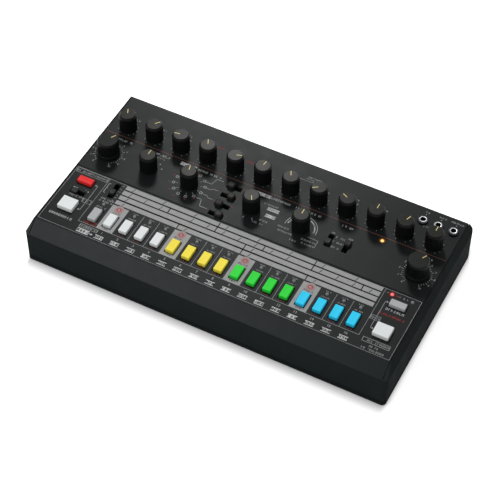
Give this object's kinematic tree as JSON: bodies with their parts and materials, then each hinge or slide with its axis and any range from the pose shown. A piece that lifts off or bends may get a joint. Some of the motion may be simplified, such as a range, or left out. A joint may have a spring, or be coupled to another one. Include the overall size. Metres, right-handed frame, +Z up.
{
  "type": "drum machine",
  "caption": "Flat desktop drum machine with rows of turning knobs, slide switches, coloured step buttons and sockets for plugs.",
  "frame": {"origin": "on the table plane under the feet, midway in width and in the whole depth", "axes": "+X to the right seen from the front, +Y towards the back with the rear sockets, +Z up"},
  "size_m": [0.305, 0.165, 0.0557],
  "materials": {
    "case": "fine matt texture",
    "board": "solder mask",
    "ribbon": "grey flat cable",
    "pot": "plated sheet steel",
    "jack": "bright bush and dark nut",
    "socket": "black socket bodies",
    "switch": "switch housings",
    "light": "tinted lens",
    "foot": "soft black rubber",
    "screw": "zinc plated",
    "knob": "satin with a lighter flat top",
    "large_knob": "satin with a lighter flat top",
    "slide_cap": "matt grey cap",
    "rocker": "glossy black",
    "cap_white": "satin",
    "cap_yellow": "satin",
    "cap_green": "satin",
    "cap_blue": "satin",
    "cap_red": "satin",
    "cap_grey": "satin"
  },
  "bodies": {
    "case": {"top_case": "case", "bottom_case": "case", "control_board": "board", "main_board": "board", "ribbon_cable": "ribbon", "potentiometers": "pot", "panel_jacks": "jack", "rear_sockets": "socket", "switch_bodies": "switch", "lights": "light", "rubber_feet": "foot", "screws": "screw"},
    "row_knob_01": {"row_knob_01": "knob"},
    "row_knob_02": {"row_knob_02": "knob"},
    "row_knob_03": {"row_knob_03": "knob"},
    "row_knob_04": {"row_knob_04": "knob"},
    "row_knob_05": {"row_knob_05": "knob"},
    "row_knob_06": {"row_knob_06": "knob"},
    "row_knob_07": {"row_knob_07": "knob"},
    "row_knob_08": {"row_knob_08": "knob"},
    "row_knob_09": {"row_knob_09": "knob"},
    "row_knob_10": {"row_knob_10": "knob"},
    "row_knob_11": {"row_knob_11": "knob"},
    "row_knob_12": {"row_knob_12": "knob"},
    "decay_knob": {"decay_knob": "knob"},
    "voice_knob": {"voice_knob": "knob"},
    "mode_knob": {"mode_knob": "knob"},
    "variation_knob": {"variation_knob": "knob"},
    "tempo_knob": {"tempo_knob": "large_knob"},
    "volume_knob": {"volume_knob": "large_knob"},
    "step_button_01": {"step_button_01": "cap_white"},
    "step_button_02": {"step_button_02": "cap_white"},
    "step_button_03": {"step_button_03": "cap_white"},
    "step_button_04": {"step_button_04": "cap_white"},
    "step_button_05": {"step_button_05": "cap_yellow"},
    "step_button_06": {"step_button_06": "cap_yellow"},
    "step_button_07": {"step_button_07": "cap_yellow"},
    "step_button_08": {"step_button_08": "cap_yellow"},
    "step_button_09": {"step_button_09": "cap_green"},
    "step_button_10": {"step_button_10": "cap_green"},
    "step_button_11": {"step_button_11": "cap_green"},
    "step_button_12": {"step_button_12": "cap_green"},
    "step_button_13": {"step_button_13": "cap_blue"},
    "step_button_14": {"step_button_14": "cap_blue"},
    "step_button_15": {"step_button_15": "cap_blue"},
    "step_button_16": {"step_button_16": "cap_blue"},
    "accent_button": {"accent_button": "cap_grey"},
    "clear_button": {"clear_button": "cap_red"},
    "fill_button": {"fill_button": "cap_grey"},
    "start_button": {"start_button": "cap_white"},
    "write_button": {"write_button": "cap_white"},
    "voice_switch_1": {"voice_switch_1": "slide_cap"},
    "voice_switch_2": {"voice_switch_2": "slide_cap"},
    "voice_switch_3": {"voice_switch_3": "slide_cap"},
    "voice_switch_4": {"voice_switch_4": "slide_cap"},
    "fade_in_switch": {"fade_in_switch": "slide_cap"},
    "fade_out_switch": {"fade_out_switch": "slide_cap"},
    "clock_switch": {"clock_switch": "slide_cap"},
    "play_switch": {"play_switch": "slide_cap"},
    "power_rocker": {"power_rocker": "rocker"}
  },
  "joints": [
    {"name": "row_turn_01", "type": "hinge", "parent": "case", "child": "row_knob_01", "pos_m": [-0.1331, 0.0447, 0.0393], "axis": [0, 0, 1], "range_deg": [-175, 125]},
    {"name": "row_turn_02", "type": "hinge", "parent": "case", "child": "row_knob_02", "pos_m": [-0.1089, 0.0447, 0.0393], "axis": [0, 0, 1], "range_deg": [-110, 190]},
    {"name": "row_turn_03", "type": "hinge", "parent": "case", "child": "row_knob_03", "pos_m": [-0.0847, 0.0447, 0.0393], "axis": [0, 0, 1], "range_deg": [-250, 50]},
    {"name": "row_turn_04", "type": "hinge", "parent": "case", "child": "row_knob_04", "pos_m": [-0.0605, 0.0447, 0.0393], "axis": [0, 0, 1], "range_deg": [-175, 125]},
    {"name": "row_turn_05", "type": "hinge", "parent": "case", "child": "row_knob_05", "pos_m": [-0.0363, 0.0447, 0.0393], "axis": [0, 0, 1], "range_deg": [-80, 220]},
    {"name": "row_turn_06", "type": "hinge", "parent": "case", "child": "row_knob_06", "pos_m": [-0.0121, 0.0447, 0.0393], "axis": [0, 0, 1], "range_deg": [-145, 155]},
    {"name": "row_turn_07", "type": "hinge", "parent": "case", "child": "row_knob_07", "pos_m": [0.0121, 0.0447, 0.0393], "axis": [0, 0, 1], "range_deg": [-175, 125]},
    {"name": "row_turn_08", "type": "hinge", "parent": "case", "child": "row_knob_08", "pos_m": [0.0363, 0.0447, 0.0393], "axis": [0, 0, 1], "range_deg": [-275, 25]},
    {"name": "row_turn_09", "type": "hinge", "parent": "case", "child": "row_knob_09", "pos_m": [0.0605, 0.0447, 0.0393], "axis": [0, 0, 1], "range_deg": [-215, 85]},
    {"name": "row_turn_10", "type": "hinge", "parent": "case", "child": "row_knob_10", "pos_m": [0.0847, 0.0447, 0.0393], "axis": [0, 0, 1], "range_deg": [-150, 150]},
    {"name": "row_turn_11", "type": "hinge", "parent": "case", "child": "row_knob_11", "pos_m": [0.1089, 0.0447, 0.0393], "axis": [0, 0, 1], "range_deg": [-130, 170]},
    {"name": "row_turn_12", "type": "hinge", "parent": "case", "child": "row_knob_12", "pos_m": [0.1331, 0.0447, 0.0393], "axis": [0, 0, 1], "range_deg": [-150, 150]},
    {"name": "decay_turn", "type": "hinge", "parent": "case", "child": "decay_knob", "pos_m": [-0.0968, 0.0134, 0.0393], "axis": [0, 0, 1], "range_deg": [-150, 150]},
    {"name": "voice_turn", "type": "hinge", "parent": "case", "child": "voice_knob", "pos_m": [-0.0605, 0.0134, 0.0393], "axis": [0, 0, 1], "range_deg": [-180, 150]},
    {"name": "mode_turn", "type": "hinge", "parent": "case", "child": "mode_knob", "pos_m": [-0.00605, 0.0134, 0.0393], "axis": [0, 0, 1], "range_deg": [0, 300]},
    {"name": "variation_turn", "type": "hinge", "parent": "case", "child": "variation_knob", "pos_m": [0.0363, 0.0134, 0.0393], "axis": [0, 0, 1], "range_deg": [-150, 150]},
    {"name": "tempo_turn", "type": "hinge", "parent": "case", "child": "tempo_knob", "pos_m": [-0.1331, 0.0134, 0.0393], "axis": [0, 0, 1], "range_deg": [-120, 180]},
    {"name": "volume_turn", "type": "hinge", "parent": "case", "child": "volume_knob", "pos_m": [0.1331, 0.0134, 0.0393], "axis": [0, 0, 1], "range_deg": [-120, 180]},
    {"name": "step_press_01", "type": "slide", "parent": "case", "child": "step_button_01", "axis": [0, 0, -1], "range_m": [0, 0.001], "stiffness_N_per_m": 300, "springref_m": -0.0005},
    {"name": "step_press_02", "type": "slide", "parent": "case", "child": "step_button_02", "axis": [0, 0, -1], "range_m": [0, 0.001], "stiffness_N_per_m": 300, "springref_m": -0.0005},
    {"name": "step_press_03", "type": "slide", "parent": "case", "child": "step_button_03", "axis": [0, 0, -1], "range_m": [0, 0.001], "stiffness_N_per_m": 300, "springref_m": -0.0005},
    {"name": "step_press_04", "type": "slide", "parent": "case", "child": "step_button_04", "axis": [0, 0, -1], "range_m": [0, 0.001], "stiffness_N_per_m": 300, "springref_m": -0.0005},
    {"name": "step_press_05", "type": "slide", "parent": "case", "child": "step_button_05", "axis": [0, 0, -1], "range_m": [0, 0.001], "stiffness_N_per_m": 300, "springref_m": -0.0005},
    {"name": "step_press_06", "type": "slide", "parent": "case", "child": "step_button_06", "axis": [0, 0, -1], "range_m": [0, 0.001], "stiffness_N_per_m": 300, "springref_m": -0.0005},
    {"name": "step_press_07", "type": "slide", "parent": "case", "child": "step_button_07", "axis": [0, 0, -1], "range_m": [0, 0.001], "stiffness_N_per_m": 300, "springref_m": -0.0005},
    {"name": "step_press_08", "type": "slide", "parent": "case", "child": "step_button_08", "axis": [0, 0, -1], "range_m": [0, 0.001], "stiffness_N_per_m": 300, "springref_m": -0.0005},
    {"name": "step_press_09", "type": "slide", "parent": "case", "child": "step_button_09", "axis": [0, 0, -1], "range_m": [0, 0.001], "stiffness_N_per_m": 300, "springref_m": -0.0005},
    {"name": "step_press_10", "type": "slide", "parent": "case", "child": "step_button_10", "axis": [0, 0, -1], "range_m": [0, 0.001], "stiffness_N_per_m": 300, "springref_m": -0.0005},
    {"name": "step_press_11", "type": "slide", "parent": "case", "child": "step_button_11", "axis": [0, 0, -1], "range_m": [0, 0.001], "stiffness_N_per_m": 300, "springref_m": -0.0005},
    {"name": "step_press_12", "type": "slide", "parent": "case", "child": "step_button_12", "axis": [0, 0, -1], "range_m": [0, 0.001], "stiffness_N_per_m": 300, "springref_m": -0.0005},
    {"name": "step_press_13", "type": "slide", "parent": "case", "child": "step_button_13", "axis": [0, 0, -1], "range_m": [0, 0.001], "stiffness_N_per_m": 300, "springref_m": -0.0005},
    {"name": "step_press_14", "type": "slide", "parent": "case", "child": "step_button_14", "axis": [0, 0, -1], "range_m": [0, 0.001], "stiffness_N_per_m": 300, "springref_m": -0.0005},
    {"name": "step_press_15", "type": "slide", "parent": "case", "child": "step_button_15", "axis": [0, 0, -1], "range_m": [0, 0.001], "stiffness_N_per_m": 300, "springref_m": -0.0005},
    {"name": "step_press_16", "type": "slide", "parent": "case", "child": "step_button_16", "axis": [0, 0, -1], "range_m": [0, 0.001], "stiffness_N_per_m": 300, "springref_m": -0.0005},
    {"name": "accent_press", "type": "slide", "parent": "case", "child": "accent_button", "axis": [0, 0, -1], "range_m": [0, 0.001], "stiffness_N_per_m": 300, "springref_m": -0.0005},
    {"name": "clear_press", "type": "slide", "parent": "case", "child": "clear_button", "axis": [0, 0, -1], "range_m": [0, 0.001], "stiffness_N_per_m": 300, "springref_m": -0.0005},
    {"name": "fill_press", "type": "slide", "parent": "case", "child": "fill_button", "axis": [0, 0, -1], "range_m": [0, 0.001], "stiffness_N_per_m": 300, "springref_m": -0.0005},
    {"name": "start_press", "type": "slide", "parent": "case", "child": "start_button", "axis": [0, 0, -1], "range_m": [0, 0.001], "stiffness_N_per_m": 300, "springref_m": -0.0005},
    {"name": "write_press", "type": "slide", "parent": "case", "child": "write_button", "axis": [0, 0, -1], "range_m": [0, 0.001], "stiffness_N_per_m": 300, "springref_m": -0.0005},
    {"name": "voice_slide_1", "type": "slide", "parent": "case", "child": "voice_switch_1", "axis": [1, 0, 0], "range_m": [0, 0.005]},
    {"name": "voice_slide_2", "type": "slide", "parent": "case", "child": "voice_switch_2", "axis": [-1, 0, 0], "range_m": [0, 0.005]},
    {"name": "voice_slide_3", "type": "slide", "parent": "case", "child": "voice_switch_3", "axis": [1, 0, 0], "range_m": [0, 0.005]},
    {"name": "voice_slide_4", "type": "slide", "parent": "case", "child": "voice_switch_4", "axis": [-1, 0, 0], "range_m": [0, 0.005]},
    {"name": "fade_in_slide", "type": "slide", "parent": "case", "child": "fade_in_switch", "axis": [0, 1, 0], "range_m": [0, 0.005]},
    {"name": "fade_out_slide", "type": "slide", "parent": "case", "child": "fade_out_switch", "axis": [0, -1, 0], "range_m": [0, 0.005]},
    {"name": "clock_slide", "type": "slide", "parent": "case", "child": "clock_switch", "axis": [1, 0, 0], "range_m": [0, 0.005]},
    {"name": "play_slide", "type": "slide", "parent": "case", "child": "play_switch", "axis": [0, 1, 0], "range_m": [0, 0.005]},
    {"name": "power_rock", "type": "hinge", "parent": "case", "child": "power_rocker", "pos_m": [0.127, 0.0779, 0.0169], "axis": [0, 0, 1], "range_deg": [0, 16]}
  ]
}
